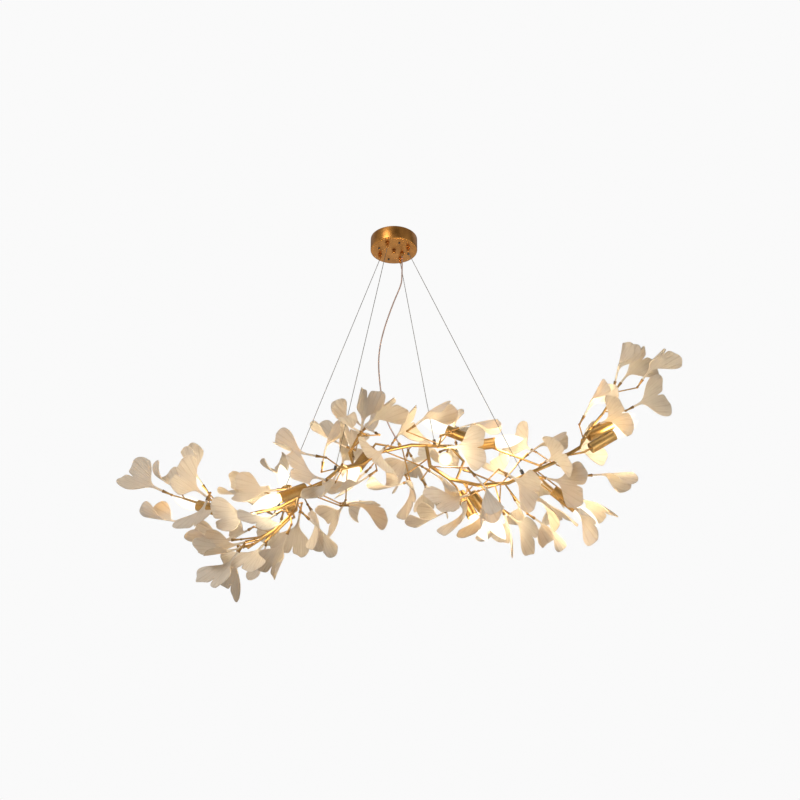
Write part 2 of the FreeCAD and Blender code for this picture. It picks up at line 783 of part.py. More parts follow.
def leaf_shape(kind):
    """One porcelain leaf, foot at the origin."""
    front = leaf_side(kind, size("foot_thickness") / 2, size("leaf_thickness") / 2)
    back = leaf_side(kind, -size("foot_thickness") / 2, -size("leaf_thickness") / 2)
    faces = []
    for rim, left, heart, notch in (front, back):
        faces += side_faces(left[0], rim[0], rim[1], left[1])
        for ring in ((left[1], rim[1], heart), (rim[1], rim[2], heart), (left[1], heart, left[2])):
            faces.append(Part.Face(Part.makePolygon([*ring, ring[0]])))
        for edge in (rim[2:] + [notch], left[2:] + [notch]):
            for a, b in zip(edge, edge[1:]):
                faces.append(Part.Face(Part.makePolygon([heart, a, b, heart])))
    around = [side[0] + [side[3]] + side[1][::-1] for side in (front, back)]
    count = len(around[0])
    for spot in range(count):
        after = (spot + 1) % count
        faces += side_faces(around[0][spot], around[0][after], around[1][after], around[1][spot])
    solid = Part.Solid(Part.Shell(faces))
    if solid.Volume < 0:
        solid.reverse()
    return solid


LEAF_SHAPES = {kind: leaf_shape(kind) for kind in CURL}

# Each leaf: route that carries it, its foot (across, up, behind), its tip (across, up), whether
# the tip leans towards the eye (-1) or away (1), degrees turned about its length from facing
# the eye, and its kind.

LEAVES = {
    "far_left": (
        ("stem_left", (-640, -246, -10), (-745, -200), 1, 40, "open"),
        ("stem_left", (-608, -236, 60), (-655, -209), 1, 75, "curled"),
        ("stem_left", (-521, -262, -14), (-616, -194), -1, 35, "open"),
        ("stem_left", (-532, -230, 88), (-599, -135), 1, 70, "curled"),
        ("stem_left", (-589, -329, 10), (-689, -319), 1, 80, "curled"),
        ("stem_left", (-521, -270, -62), (-559, -356), -1, 50, "open"),
        ("broom_back", (-454, -378, 40), (-570, -386), 1, 75, "curled"),
    ),
    "broom_upper": (
        ("stem_left", (-332, -243, -10), (-451, -254), 1, 50, "open"),
        ("stem_left", (-383, -248, 84), (-467, -243), 1, 40, "curled"),
        ("stem_left", (-356, -302, 60), (-419, -265), 1, 60, "cupped"),
        ("broom_front", (-386, -305, -56), (-508, -329), -1, 42, "open"),
        ("broom_back", (-408, -350, 40), (-464, -383), 1, 70, "cupped"),
    ),
    "broom_lower": (
        ("broom_front", (-416, -383, -10), (-532, -416), 1, 60, "curled"),
        ("broom_front", (-424, -397, -90), (-540, -435), -1, 70, "cupped"),
        ("broom_front", (-437, -410, -130), (-516, -513), -1, 55, "open"),
        ("broom_front", (-440, -418, -36), (-451, -523), 1, 55, "open"),
        ("broom_front", (-365, -386, -58), (-437, -467), -1, 44, "open"),
        ("broom_back", (-362, -392, 95), (-378, -473), 1, 80, "curled"),
        ("broom_front", (-305, -362, -60), (-359, -481), -1, 30, "curled"),
        ("broom_back", (-270, -305, 60), (-297, -451), 1, 30, "open"),
        ("broom_back", (-320, -322, 120), (-342, -408), 1, 60, "cupped"),
        ("broom_front", (-335, -308, -110), (-402, -348), -1, 45, "open"),
    ),
    "left_crown": (
        ("stem_left", (-227, -151, -88), (-354, -130), -1, 68, "cupped"),
        ("stem_left", (-200, -216, -90), (-308, -189), -1, 52, "open"),
        ("stem_left", (-297, -203, 128), (-348, -189), 1, 60, "curled"),
        ("crown", (-208, -167, 10), (-192, -51), 1, 85, "cupped"),
        ("crown", (-143, -127, 102), (-243, -89), 1, 80, "cupped"),
        ("crown", (-108, -86, -60), (-186, -43), -1, 70, "curled"),
    ),
    "centre_crown": (
        ("crown", (-105, -84, -80), (-84, 38), -1, 20, "curled"),
        ("crown", (-94, -76, -20), (-11, 8), 1, 50, "cupped"),
        ("stem_left", (-12, -104, 92), (26, -49), 1, 50, "cupped"),
        ("stem_left", (-43, -132, -70), (-89, -170), -1, 5, "open"),
        ("crown", (-130, -140, 50), (-149, -78), 1, 60, "cupped"),
        ("stem_left", (-156, -176, 112), (-148, -122), 1, 40, "cupped"),
        ("crown", (-65, -89, 60), (-105, -68), 1, 60, "curled"),
    ),
    "centre_low": (
        ("stem_left", (-167, -194, -100), (-216, -284), -1, 60, "cupped"),
        ("stem_left", (-84, -205, -60), (-176, -270), -1, 75, "cupped"),
        ("stem_left", (-92, -194, 90), (-146, -246), 1, 60, "cupped"),
        ("stem_left", (-240, -297, -60), (-197, -365), -1, 60, "cupped"),
        ("stem_left", (-246, -321, 10), (-167, -394), 1, 80, "curled"),
        ("stem_left", (-154, -284, 60), (-186, -346), 1, 50, "cupped"),
        ("stem_left", (-149, -278, 110), (-92, -273), 1, 70, "curled"),
        ("stem_left", (-138, -284, 0), (-38, -278), -1, 50, "cupped"),
        ("stem_left", (11, -224, 40), (-57, -248), 1, 85, "curled"),
    ),
    "middle_crown": (
        ("middle_up", (41, -68, -60), (135, 3), -1, 50, "curled"),
        ("link", (151, -115, 100), (140, -59), 1, 75, "curled"),
        ("middle_up", (159, -76, 58), (275, -35), 1, 80, "cupped"),
        ("middle_up", (127, -127, -60), (238, -127), -1, 5, "open"),
        ("stem_right", (356, -135, 70), (305, -111), 1, 10, "open"),
        ("stem_right", (346, -146, 18), (442, -68), -1, 78, "cupped"),
    ),
    "middle_low": (
        ("stem_left", (81, -192, -60), (178, -248), -1, 66, "cupped"),
        ("stem_right", (22, -219, -50), (54, -289), -1, 55, "cupped"),
        ("stem_right", (68, -228, 60), (108, -284), 1, 50, "cupped"),
        ("stem_right", (189, -254, -90), (86, -292), -1, 50, "open"),
        ("stem_right", (122, -302, 44), (43, -346), 1, 80, "curled"),
        ("stem_left", (19, -150, 100), (3, -219), 1, 66, "cupped"),
        ("stem_left", (30, -151, 150), (65, -208), 1, 66, "cupped"),
        ("stem_left", (108, -140, 190), (49, -165), 1, 60, "cupped"),
        ("stem_right", (173, -189, 120), (103, -165), 1, 60, "curled"),
        ("stem_right", (286, -204, 40), (232, -182), 1, 60, "cupped"),
    ),
    "right_low": (
        ("stem_right", (289, -200, -90), (386, -254), -1, 30, "open"),
        ("stem_right", (381, -211, 40), (421, -248), 1, 66, "cupped"),
        ("stem_right", (359, -262, 0), (435, -292), -1, 60, "cupped"),
        ("stem_right", (392, -278, 80), (454, -313), 1, 66, "cupped"),
        ("stem_right", (362, -319, 20), (440, -370), 1, 72, "curled"),
        ("stem_right", (311, -270, 60), (356, -346), 1, 75, "cupped"),
        ("stem_right", (281, -308, 60), (313, -392), 1, 72, "cupped"),
        ("stem_right", (294, -308, -60), (381, -378), -1, 50, "open"),
        ("stem_right", (178, -274, -84), (172, -356), -1, 60, "cupped"),
        ("stem_right", (230, -278, -80), (224, -367), -1, 60, "cupped"),
        ("stem_right", (265, -305, 40), (251, -362), 1, 80, "curled"),
        ("stem_right", (203, -205, -203), (289, -300), -1, 80, "curled"),
    ),
    "right_end": (
        ("stem_right", (394, -211, -80), (508, -235), -1, 5, "open"),
        ("stem_right", (518, -203, 10), (632, -194), 1, 72, "curled"),
        ("stem_right", (454, -281, -60), (548, -335), -1, 58, "cupped"),
        ("stem_right", (473, -262, 60), (572, -297), 1, 62, "cupped"),
        ("stem_right", (394, -167, -70), (454, -135), -1, 5, "open"),
        ("stem_right", (464, -140, 80), (540, -111), 1, 10, "open"),
    ),
    "right_tip": (
        ("right_tip", (497, -43, 20), (556, 65), -1, 60, "curled"),
        ("right_tip", (581, 50, 20), (608, 167), -1, 70, "curled"),
        ("right_tip", (596, 46, 70), (659, 130), 1, 45, "cupped"),
        ("right_tip", (655, 55, 36), (718, 146), -1, 50, "cupped"),
        ("right_tip", (629, -19, 84), (713, 24), 1, 15, "open"),
        ("stem_right", (540, -64, -44), (621, -24), -1, 5, "open"),
    ),
}


LEAF_STEPS = 118  # board steps from foot to lobe, for which the tips were drawn


def leaf_direction(foot, tip_spot, lean, behind):
    """The way a leaf points so that the tip of one of the drawn length is seen at its board spot."""
    to_eye = (EYE - foot).normalize()
    seen_tip = sight(*tip_spot, behind)
    apparent = (seen_tip - foot) - to_eye * (seen_tip - foot).dot(to_eye)
    share = min(1.0, apparent.Length / (LEAF_STEPS * STEP))
    depth = math.sqrt(1 - share ** 2)
    return apparent.normalize() * share - to_eye * (depth * lean)


def leaf_turn(direction, foot, degrees):
    """Rotation that lays the leaf along direction, its hollow side turned from the eye by degrees."""
    to_eye = (EYE - foot).normalize()
    facing = (to_eye - direction * to_eye.dot(direction)).normalize()
    facing = Rotation(direction, degrees).multVec(facing)
    return Rotation(direction.cross(facing), direction, facing, "ZYX")


SOCKET = size("socket_diameter") / 2
for cluster, rows in LEAVES.items():
    blades, twigs = [], []
    for carrier, foot_spot, tip_spot, lean, degrees, kind in rows:
        foot = sight(*foot_spot)
        direction = leaf_direction(foot, tip_spot, lean, foot_spot[2])
        blades.append(placed(LEAF_SHAPES[kind], foot, leaf_turn(direction, foot, degrees)))
        knee = foot - direction * size("socket_length")
        start = on_surface(carrier, knee, TWIG, direction)
        twigs.append(rod([start, knee, foot], [TWIG, TWIG, SOCKET], TWIG_SIDES))
    group("leaves_" + cluster, blades)
    group("twigs_" + cluster, twigs)

# ---------------------------------------------------------------- power cord

CORD_SPOTS = (
    (6, 330, 9),
    (2, 308, 6),
    (-14, 272, 4),
    (-27, 238, 4),
    (-41, 198, 6),
    (-52, 157, 6),
    (-57, 122, 12),
    (-58, 89, 22),
    (-55, 50, 34),
    (-50, 10, 40),
    (-44, -30, 38),
    (-32, -66, 34),
    (-14, -98, 26),
)
CORD_SIDES = 6
LOWER_GLAND = ((3.0, 0.0), (5.0, 2.0), (5.0, 8.0), (3.0, 11.0))  # where the cord enters the branch
cord_start = Vector(
    size("gland_across"), size("gland_behind"), cup_bottom - size("gland_length")
)
cord_spots = spots(*CORD_SPOTS)
gland_foot = on_surface("stem_left", cord_spots[-1], LOWER_GLAND[0][0])
gland_axis = (cord_spots[-1] - gland_foot).normalize()
lower_gland = spun(LOWER_GLAND, SMALL_SIDES)
group("lower_gland", [placed(lower_gland, gland_foot, Rotation(UP, gland_axis))])
cord_end = gland_foot + gland_axis * LOWER_GLAND[-1][1]
cord_route = [cord_start] + cord_spots + [cord_end]
cord_path, cord_bends = bent(cord_route)
cord_radius = size("cord_diameter") / 2
cord_turn = Rotation(UP, cord_route[1] - cord_route[0])
cord_angles = [2 * math.pi * side / CORD_SIDES for side in range(CORD_SIDES + 1)]
cord_ring = [Vector(math.cos(a), math.sin(a), 0) * cord_radius for a in cord_angles]
profile = Part.makePolygon([cord_route[0] + cord_turn.multVec(corner) for corner in cord_ring])
cord = document.addObject("Part::Feature", "power_cord")
cord.Shape = cord_path.makePipeShell([profile], True, False)
keep("power_cord", cord)
print("power cord", round(cord_path.Length, 1), "mm long, bends", [round(r) for r in cord_bends])

# ---------------------------------------------------------------- checks and export

document.recompute()
for thing in document.Objects:
    if "Invalid" in thing.State or "Error" in thing.State:
        raise RuntimeError(f"{thing.Label} did not compute: {thing.State}")
for label, piece in nodes.items():
    if piece.Shape.isNull() or not piece.Shape.isValid():
        raise RuntimeError(f"{label} has no valid shape")
os.makedirs("parts", exist_ok=True)
for label, piece in nodes.items():
    piece.Shape.exportStep(f"parts/{label}.step")
print(len(nodes), "nodes,", sum(len(piece.Shape.Solids) for piece in nodes.values()), "solids")
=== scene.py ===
import json
import math
import random

import bmesh
import bpy
import numpy as np
from mathutils import Matrix, Vector


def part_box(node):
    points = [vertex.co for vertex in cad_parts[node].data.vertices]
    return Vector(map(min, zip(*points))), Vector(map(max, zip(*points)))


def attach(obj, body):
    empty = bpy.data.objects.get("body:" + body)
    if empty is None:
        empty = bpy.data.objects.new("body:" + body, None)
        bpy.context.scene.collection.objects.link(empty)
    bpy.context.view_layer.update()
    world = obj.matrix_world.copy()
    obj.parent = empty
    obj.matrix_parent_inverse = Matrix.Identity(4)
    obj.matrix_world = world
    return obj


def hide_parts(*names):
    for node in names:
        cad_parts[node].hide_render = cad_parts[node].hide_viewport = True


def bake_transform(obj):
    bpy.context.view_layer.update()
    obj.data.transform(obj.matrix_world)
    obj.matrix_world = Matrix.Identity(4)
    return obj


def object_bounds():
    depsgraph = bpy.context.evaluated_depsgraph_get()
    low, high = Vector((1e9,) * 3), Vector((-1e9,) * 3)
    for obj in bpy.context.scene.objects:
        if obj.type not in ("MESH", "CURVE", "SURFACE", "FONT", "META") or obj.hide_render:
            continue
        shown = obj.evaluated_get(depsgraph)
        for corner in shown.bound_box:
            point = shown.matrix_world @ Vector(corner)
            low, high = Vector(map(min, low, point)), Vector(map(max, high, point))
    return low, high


# Branch chandelier: a brushed brass cup, four wires and a cord carry a branch of brass rods with
# twelve lit candle lamps and porcelain ginkgo leaves. Metres, +Z up, ceiling face at Z = 0. The
# profiles and outlines of turned and cast pieces are in millimetres.

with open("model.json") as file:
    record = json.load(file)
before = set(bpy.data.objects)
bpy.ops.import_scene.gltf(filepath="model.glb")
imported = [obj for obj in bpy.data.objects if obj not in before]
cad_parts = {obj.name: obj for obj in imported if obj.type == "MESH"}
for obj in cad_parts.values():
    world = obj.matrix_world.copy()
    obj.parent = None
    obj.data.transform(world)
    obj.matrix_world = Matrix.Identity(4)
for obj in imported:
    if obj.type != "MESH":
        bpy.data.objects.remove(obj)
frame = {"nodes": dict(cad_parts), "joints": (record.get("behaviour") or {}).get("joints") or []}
cad_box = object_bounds()
scene = bpy.context.scene
scene.view_settings.view_transform = "Standard"
MM = 0.001

# ---------------------------------------------------------------- camera, room and floor
# The chandelier is seen from in front and below, hung in a white studio. A soft key light stands
# high on the left and a weak one low on the right, and the floor is pale and plain.

EYE = Vector((18, -2714, -1880)) * MM
TILT = math.radians(26.4)
LENS = 49.5

camera = bpy.data.objects.new("camera", bpy.data.cameras.new("camera"))
camera.location = EYE
camera.rotation_euler = (math.radians(90) + TILT, 0, 0)
camera.data.lens = LENS
scene.collection.objects.link(camera)
scene.camera = camera


class Nodes:
    """A node tree, with short ways to add nodes and links."""

    def __init__(self, tree):
        self.tree = tree

    def add(self, kind, **settings):
        """A node of a kind; settings name its inputs, or its own properties."""
        node = self.tree.nodes.new("ShaderNode" + kind)
        for name, value in settings.items():
            label = name.replace("_", " ").title()
            if label in node.inputs:
                node.inputs[label].default_value = value
            else:
                setattr(node, name, value)
        return node

    def link(self, source, target):
        """Join an output to an input."""
        self.tree.links.new(source, target)

    def mixed(self, factor, low, high, **settings):
        """A mix of two sources by a factor."""
        node = self.add("Mix", **settings)
        for label, source in zip(("Factor", "A", "B"), (factor, low, high)):
            self.put(source, node.inputs[label])
        return node.outputs["Result"]

    def put(self, source, target):
        """Join an output to an input, or set the input to a plain value."""
        if isinstance(source, bpy.types.NodeSocket):
            self.link(source, target)
        else:
            target.default_value = source

    def spread(self, source, low, high, start=0.3, end=0.7):
        """A factor's stretch from start to end, spread from low to high."""
        node = self.add("MapRange", from_min=start, from_max=end)
        self.put(low, node.inputs["To Min"])
        self.put(high, node.inputs["To Max"])
        self.link(source, node.inputs["Value"])
        return node.outputs["Result"]

    def ramp(self, source, low, high, start=0.3, end=0.7):
        """A colour ramp between two colours over a stretch of a factor."""
        ramp = self.add("ValToRGB")
        first, second = ramp.color_ramp.elements
        first.position, first.color = start, (*low, 1)
        second.position, second.color = end, (*high, 1)
        self.link(source, ramp.inputs["Fac"])
        return ramp.outputs["Color"]

    def stretched(self, coordinates, scale):
        """Coordinates stretched by three factors."""
        mapping = self.add("Mapping")
        self.put(scale, mapping.inputs["Scale"])
        self.link(coordinates, mapping.inputs["Vector"])
        return mapping.outputs["Vector"]

    def noise(self, coordinates, scale, detail):
        """A cloud pattern, as a factor."""
        noise = self.add("TexNoise", scale=scale, detail=detail)
        self.link(coordinates, noise.inputs["Vector"])
        return noise.outputs["Fac"]

    def bump(self, source, strength, distance):
        """A bump from a height factor, with its depth in metres."""
        bump = self.add("Bump", strength=strength, distance=distance)
        self.link(source, bump.inputs["Height"])
        return bump.outputs["Normal"]

    def blended(self, factor, first, second):
        """A mix of two shaders."""
        node = self.add("MixShader")
        self.put(factor, node.inputs["Fac"])
        self.link(first, node.inputs[1])
        self.link(second, node.inputs[2])
        return node.outputs["Shader"]

    def by_eye(self):
        """1 for what is seen directly, and 0 for all else."""
        return self.add("LightPath").outputs["Is Camera Ray"]

    def seen(self):
        """1 for what is seen directly, in metal or through glass, and 0 for cast light."""
        path = self.add("LightPath")
        mirrored = self.add("Math", operation="MAXIMUM")
        self.link(path.outputs["Is Glossy Ray"], mirrored.inputs[0])
        self.link(path.outputs["Is Transmission Ray"], mirrored.inputs[1])
        either = self.add("Math", operation="MAXIMUM")
        self.link(path.outputs["Is Camera Ray"], either.inputs[0])
        self.link(mirrored.outputs["Value"], either.inputs[1])
        return either.outputs["Value"]


class Finish(Nodes):
    """A material."""

    def __init__(self, name):
        self.material = bpy.data.materials.new(name)
        self.material.use_nodes = True
        super().__init__(self.material.node_tree)
        self.tree.nodes.clear()

    def effect(self, group, **values):
        """A shared effect, placed with this material's own values."""
        node = self.add("Group", node_tree=group)
        for name, value in values.items():
            node.inputs[name.capitalize()].default_value = value
        return node.outputs

    def done(self, shader):
        """The material, with this shader as its surface."""
        self.link(shader, self.add("OutputMaterial").inputs["Surface"])
        return self.material


BACKDROP = (0.955, 0.955, 0.955, 1)
ROOM_LIGHT = (1.0, 0.985, 0.965, 1)
ROOM_STRENGTH = 0.47
# metal and glass see the same backdrop, with the darker gaps between a studio's screens
SCREEN_RANGE = (0.1, 0.9)
SCREEN_EDGES = (0.38, 0.62)
SCREEN_SPREAD = 1.6

room = bpy.data.worlds.new("room")
room.use_nodes = True
room.node_tree.nodes.clear()
nodes = Nodes(room.node_tree)
lighting = nodes.add("Background", color=ROOM_LIGHT, strength=ROOM_STRENGTH)
backdrop = nodes.add("Background", color=BACKDROP)
heading = nodes.stretched(nodes.add("TexCoord").outputs["Generated"], (-1, -1, -1))
screens = nodes.spread(nodes.noise(heading, SCREEN_SPREAD, 1.0), *SCREEN_RANGE, *SCREEN_EDGES)
nodes.link(nodes.mixed(nodes.by_eye(), screens, 1.0), backdrop.inputs["Strength"])
look = nodes.blended(nodes.seen(), lighting.outputs["Background"], backdrop.outputs["Background"])
nodes.link(look, nodes.add("OutputWorld").inputs["Surface"])
scene.world = room


def soft_light(name, place, aim, width, power, colour):
    """A square area light at place, turned to aim."""
    lamp = bpy.data.lights.new(name, "AREA")
    lamp.size = width
    lamp.energy = power
    lamp.color = colour
    holder = bpy.data.objects.new(name, lamp)
    holder.location = place
    holder.rotation_euler = (Vector(aim) - Vector(place)).to_track_quat("-Z", "Y").to_euler()
    scene.collection.objects.link(holder)


LIT_SPOT = (0, 0, -0.7)
soft_light("key_light", (-1.6, -2.4, 0.7), LIT_SPOT, width=1.2, power=38, colour=(1.0, 0.975, 0.94))
soft_light("low_light", (1.8, -2.0, -2.0), LIT_SPOT, width=0.9, power=12, colour=(1.0, 0.97, 0.93))

FLOOR_HEIGHT = -2.75
FLOOR_REACH = 30.0
FLOOR_GLOW = 0.8
FLOOR_SHADES = ((0.84, 0.84, 0.835), (0.87, 0.87, 0.865))

nodes = Finish("pale_floor")
place = nodes.add("TexCoord").outputs["Object"]
matt = nodes.add("BsdfPrincipled", roughness=0.7)
nodes.link(nodes.ramp(nodes.noise(place, 3.0, 4.0), *FLOOR_SHADES), matt.inputs["Base Color"])
pale = nodes.add("Emission", color=BACKDROP)
share = nodes.add("Math", operation="MULTIPLY")
share.inputs[1].default_value = FLOOR_GLOW
nodes.link(nodes.seen(), share.inputs[0])
surface = nodes.blended(share.outputs["Value"], matt.outputs["BSDF"], pale.outputs["Emission"])
pale_floor = nodes.done(surface)

sheet = bmesh.new()
level = Matrix.Translation((0, 0, FLOOR_HEIGHT))
bmesh.ops.create_grid(sheet, x_segments=1, y_segments=1, size=FLOOR_REACH, matrix=level)
floor = bpy.data.objects.new("floor", bpy.data.meshes.new("floor"))
sheet.to_mesh(floor.data)
sheet.free()
floor.data.materials.append(pale_floor)
scene.collection.objects.link(floor)

# ---------------------------------------------------------------- ceiling cup
# A shallow cup of turned brass, brushed round its wall and browned with age, with a rolled lower
# edge. Four screws through its floor hold it up against the ceiling.

DRIFT_SCALE, STREAK_SCALE = 30.0, 900.0
STREAK_SHARE = 0.45
STREAK_DEPTH = 0.1 * MM
SHINE_DRIFT = 0.16


def effect_group(name, inputs, outputs):
    """An empty shader node group with named sockets, what it is given and what it gives."""
    tree = bpy.data.node_groups.new(name, "ShaderNodeTree")
    for in_out, sockets in (("INPUT", inputs), ("OUTPUT", outputs)):
        for label, kind in sockets.items():
            tree.interface.new_socket(name=label, in_out=in_out, socket_type="NodeSocket" + kind)
    given = tree.nodes.new("NodeGroupInput").outputs
    return Nodes(tree), given, tree.nodes.new("NodeGroupOutput").inputs


def brushed_effect():
    """Fine streaks, a slow drift of colour and a little unevenness in the shine."""
    nodes, given, result = effect_group(
        "brushed",
        {"Dark": "Color", "Light": "Color", "Shine": "Float", "Grain": "Vector"},
        {"Color": "Color", "Roughness": "Float", "Normal": "Vector"},
    )
    place = nodes.add("TexCoord").outputs["Object"]
    drift = nodes.noise(place, DRIFT_SCALE, 3.0)
    streaks = nodes.noise(nodes.stretched(place, given["Grain"]), STREAK_SCALE, 2.0)
    factor = nodes.mixed(STREAK_SHARE, drift, streaks)
    tone = nodes.spread(factor, 0.0, 1.0)
    nodes.link(nodes.mixed(tone, given["Dark"], given["Light"], data_type="RGBA"), result["Color"])
    dull = nodes.add("Math", operation="MULTIPLY_ADD")
    nodes.link(factor, dull.inputs[0])
    dull.inputs[1].default_value = SHINE_DRIFT
    nodes.link(given["Shine"], dull.inputs[2])
    nodes.link(dull.outputs["Value"], result["Roughness"])
    nodes.link(nodes.bump(streaks, 0.12, STREAK_DEPTH), result["Normal"])
    return nodes.tree


BRUSHED = brushed_effect()


def brushed_metal(name, dark, light, shine, grain):
    """A metal brushed along its grain."""
    finish = Finish(name)
    effect = finish.effect(BRUSHED, dark=(*dark, 1), light=(*light, 1), shine=shine, grain=grain)
    body = finish.add("BsdfPrincipled", metallic=1.0)
    finish.link(effect["Color"], body.inputs["Base Color"])
    finish.link(effect["Roughness"], body.inputs["Roughness"])
    finish.link(effect["Normal"], body.inputs["Normal"])
    return finish.done(body.outputs["BSDF"])


def turned(bm, profile, place, sides=40):
    """Turn a profile of (radius, height) corners about the Z axis of a place."""
    corners = [bm.verts.new(place @ (Vector((radius, 0, height)) * MM)) for radius, height in profile]
    edges = [bm.edges.new(pair) for pair in zip(corners, corners[1:])]
    bmesh.ops.spin(
        bm, geom=corners + edges, cent=place.translation, axis=place.col[2].to_3d(), dvec=(0, 0, 0),
        angle=2 * math.pi, steps=sides, use_merge=True, use_duplicate=False,
    )


WELD = 0.004 * MM
SHARP = math.radians(38)


def settle(bm, name, body, material, stands_for=(), levels=0):
    """Close a new mesh's seams and make it a finished piece that rides on a body."""
    bmesh.ops.remove_doubles(bm, verts=bm.verts, dist=WELD)
    bmesh.ops.recalc_face_normals(bm, faces=bm.faces)
    return piece_from(bm, name, body, material, stands_for, levels)


def piece_from(bm, name, body, material, stands_for, levels):
    """A finished piece from a closed mesh, shaded smooth but for its sharp edges."""
    mesh = bpy.data.meshes.new(name)
    bm.to_mesh(mesh)
    bm.free()
    mesh.polygons.foreach_set("use_smooth", [True] * len(mesh.polygons))
    mesh.set_sharp_from_angle(angle=SHARP)
    mesh.materials.append(material)
    piece = bpy.data.objects.new(name, mesh)
    scene.collection.objects.link(piece)
    if levels:
        subdivision = piece.modifiers.new("subdivision", "SUBSURF")
        subdivision.levels = levels
        subdivision.render_levels = levels
    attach(piece, body)
    if stands_for:
        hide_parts(*stands_for)
    return piece


CUP_BRASS = brushed_metal(
    "canopy_brass", dark=(0.35, 0.145, 0.032), light=(0.58, 0.26, 0.065), shine=0.27, grain=(0.05, 0.05, 1.0)
)
CUP_PROFILE = (
    (0, 0), (8, 0), (64, 0), (66.6, 0.35), (68.4, 1.6), (69, 3.4), (69, 39), (68.8, 41.4),
    (68.2, 42), (67.5, 41.6), (67.5, 4), (66, 1.5), (0, 1.5),
)

cup = bmesh.new()
turned(cup, CUP_PROFILE, Matrix.Translation((0, 0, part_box("canopy_cup")[0][2])), sides=96)
settle(cup, "cup_shell", "canopy", CUP_BRASS, ["canopy_cup"])

# ---------------------------------------------------------------- fittings under the cup
# Four cable grippers, each a turned barrel with a flange and a sprung release plunger, four dark
# slotless screws, a turned knob in the middle, and the gland that lets the power cord out.


JOINED = 0.02 * MM


def merged(node):
    """A CAD node's mesh with its loose triangles joined."""
    bm = bmesh.new()
    bm.from_mesh(frame["nodes"][node].data)
    bmesh.ops.remove_doubles(bm, verts=bm.verts, dist=JOINED)
    return bm


def islands(bm):
    """The separate solids of a mesh, each a list of its corners."""
    found = []
    known = set()
    for start in bm.verts:
        if start in known:
            continue
        known.add(start)
        group, queue = [start], [start]
        while queue:
            corner = queue.pop()
            for edge in corner.link_edges:
                other = edge.other_vert(corner)
                if other not in known:
                    known.add(other)
                    group.append(other)
                    queue.append(other)
        found.append(group)
    return found


def ring_places(node):
    """Places at the lowest ends of a node's separate solids."""
    bm = merged(node)
    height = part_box(node)[0][2]
    places = []
    for group in islands(bm):
        middle = sum((corner.co for corner in group), Vector()) / len(group)
        places.append(Matrix.Translation((middle.x, middle.y, height)))
    bm.free()
    return places


def foot_place(node):
    """The place at the middle of a node's lowest end."""
    low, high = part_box(node)
    return Matrix.Translation(((low[0] + high[0]) / 2, (low[1] + high[1]) / 2, low[2]))


BARREL_PROFILE = (
    (3.2, 1.4), (3.2, 0), (4.2, 0), (4.9, 0.7), (4.9, 3.2), (4.5, 3.5), (4.5, 4.1), (4.9, 4.4),
    (4.9, 9.6), (6.5, 9.8), (6.9, 10.2), (6.9, 11.6), (6.6, 12), (0, 12), (0, 1.4), (3.2, 1.4),
)
PLUNGER_PROFILE = (
    (0, 0), (1.1, 0), (1.4, -0.2), (2.3, 0.2), (2.95, 1.1), (2.95, 3.8), (2.7, 4.1), (2.7, 9), (0, 9),
)
KNOB_PROFILE = (
    (0, 0), (2.6, 0.1), (4.4, 0.7), (5.6, 2.0), (6, 3.6), (5.7, 5.2), (4.6, 6.3), (3.3, 7.0),
    (3.1, 7.9), (4.4, 8.6), (4.6, 9), (0, 9),
)
SCREW_PROFILE = (
    (0, 1.0), (1.5, 1.0), (1.7, 0.2), (2.4, 0), (3.2, 0.4), (3.5, 1.1), (3.5, 1.9), (3.3, 2), (0, 2),
)
GLAND_PROFILE = (
    (0, 0), (2.8, 0), (3.1, 0.4), (4.6, 5.2), (5.4, 6.8), (5.5, 7.4), (5.5, 9.7), (5.3, 10), (0, 10),
)
DARK_STEEL = brushed_metal("dark_steel", (0.05, 0.045, 0.04), (0.12, 0.11, 0.10), 0.35, (1.0, 1.0, 0.3))

barrels, screws, knob, gland = (bmesh.new() for piece in range(4))
for place in ring_places("gripper_barrels"):
    turned(barrels, BARREL_PROFILE, place)
for place in ring_places("cup_screws"):
    turned(screws, SCREW_PROFILE, place, sides=24)
turned(knob, KNOB_PROFILE, foot_place("centre_knob"))
turned(gland, GLAND_PROFILE, foot_place("cord_gland"))
settle(barrels, "grippers", "canopy", CUP_BRASS, ["gripper_barrels"])
settle(screws, "screw_heads", "canopy", DARK_STEEL, ["cup_screws"])
settle(knob, "knob", "canopy", CUP_BRASS, ["centre_knob"])
settle(gland, "upper_gland", "canopy", CUP_BRASS, ["cord_gland"])
for number in range(1, 5):
    plunger = bmesh.new()
    node = f"gripper_plunger_{number}"
    turned(plunger, PLUNGER_PROFILE, foot_place(node), sides=28)
    settle(plunger, f"plunger_{number}_turned", f"plunger_{number}", CUP_BRASS, [node])

# ---------------------------------------------------------------- inside the cup
# The zinc-plated plate screwed to the ceiling, its four hexagonal pillars, and the moulded
# terminal block where the cord is wired. They are the solids themselves.


MOTTLE_SCALE = 160.0
MOTTLE_SHADE = 0.86
MOTTLE_DEPTH = 0.1 * MM


def mottled_effect():
    """The faint mottle of moulded plastic."""
    nodes, given, result = effect_group(
        "mottled", {"Colour": "Color"}, {"Color": "Color", "Normal": "Vector"}
    )
    mottle = nodes.noise(nodes.add("TexCoord").outputs["Object"], MOTTLE_SCALE, 4.0)
    shade = nodes.spread(mottle, MOTTLE_SHADE, 1.0)
    tint = nodes.add("VectorMath", operation="SCALE")
    nodes.link(given["Colour"], tint.inputs[0])
    nodes.link(shade, tint.inputs["Scale"])
    nodes.link(tint.outputs["Vector"], result["Color"])
    nodes.link(nodes.bump(mottle, 0.1, MOTTLE_DEPTH), result["Normal"])
    return nodes.tree


MOTTLED = mottled_effect()


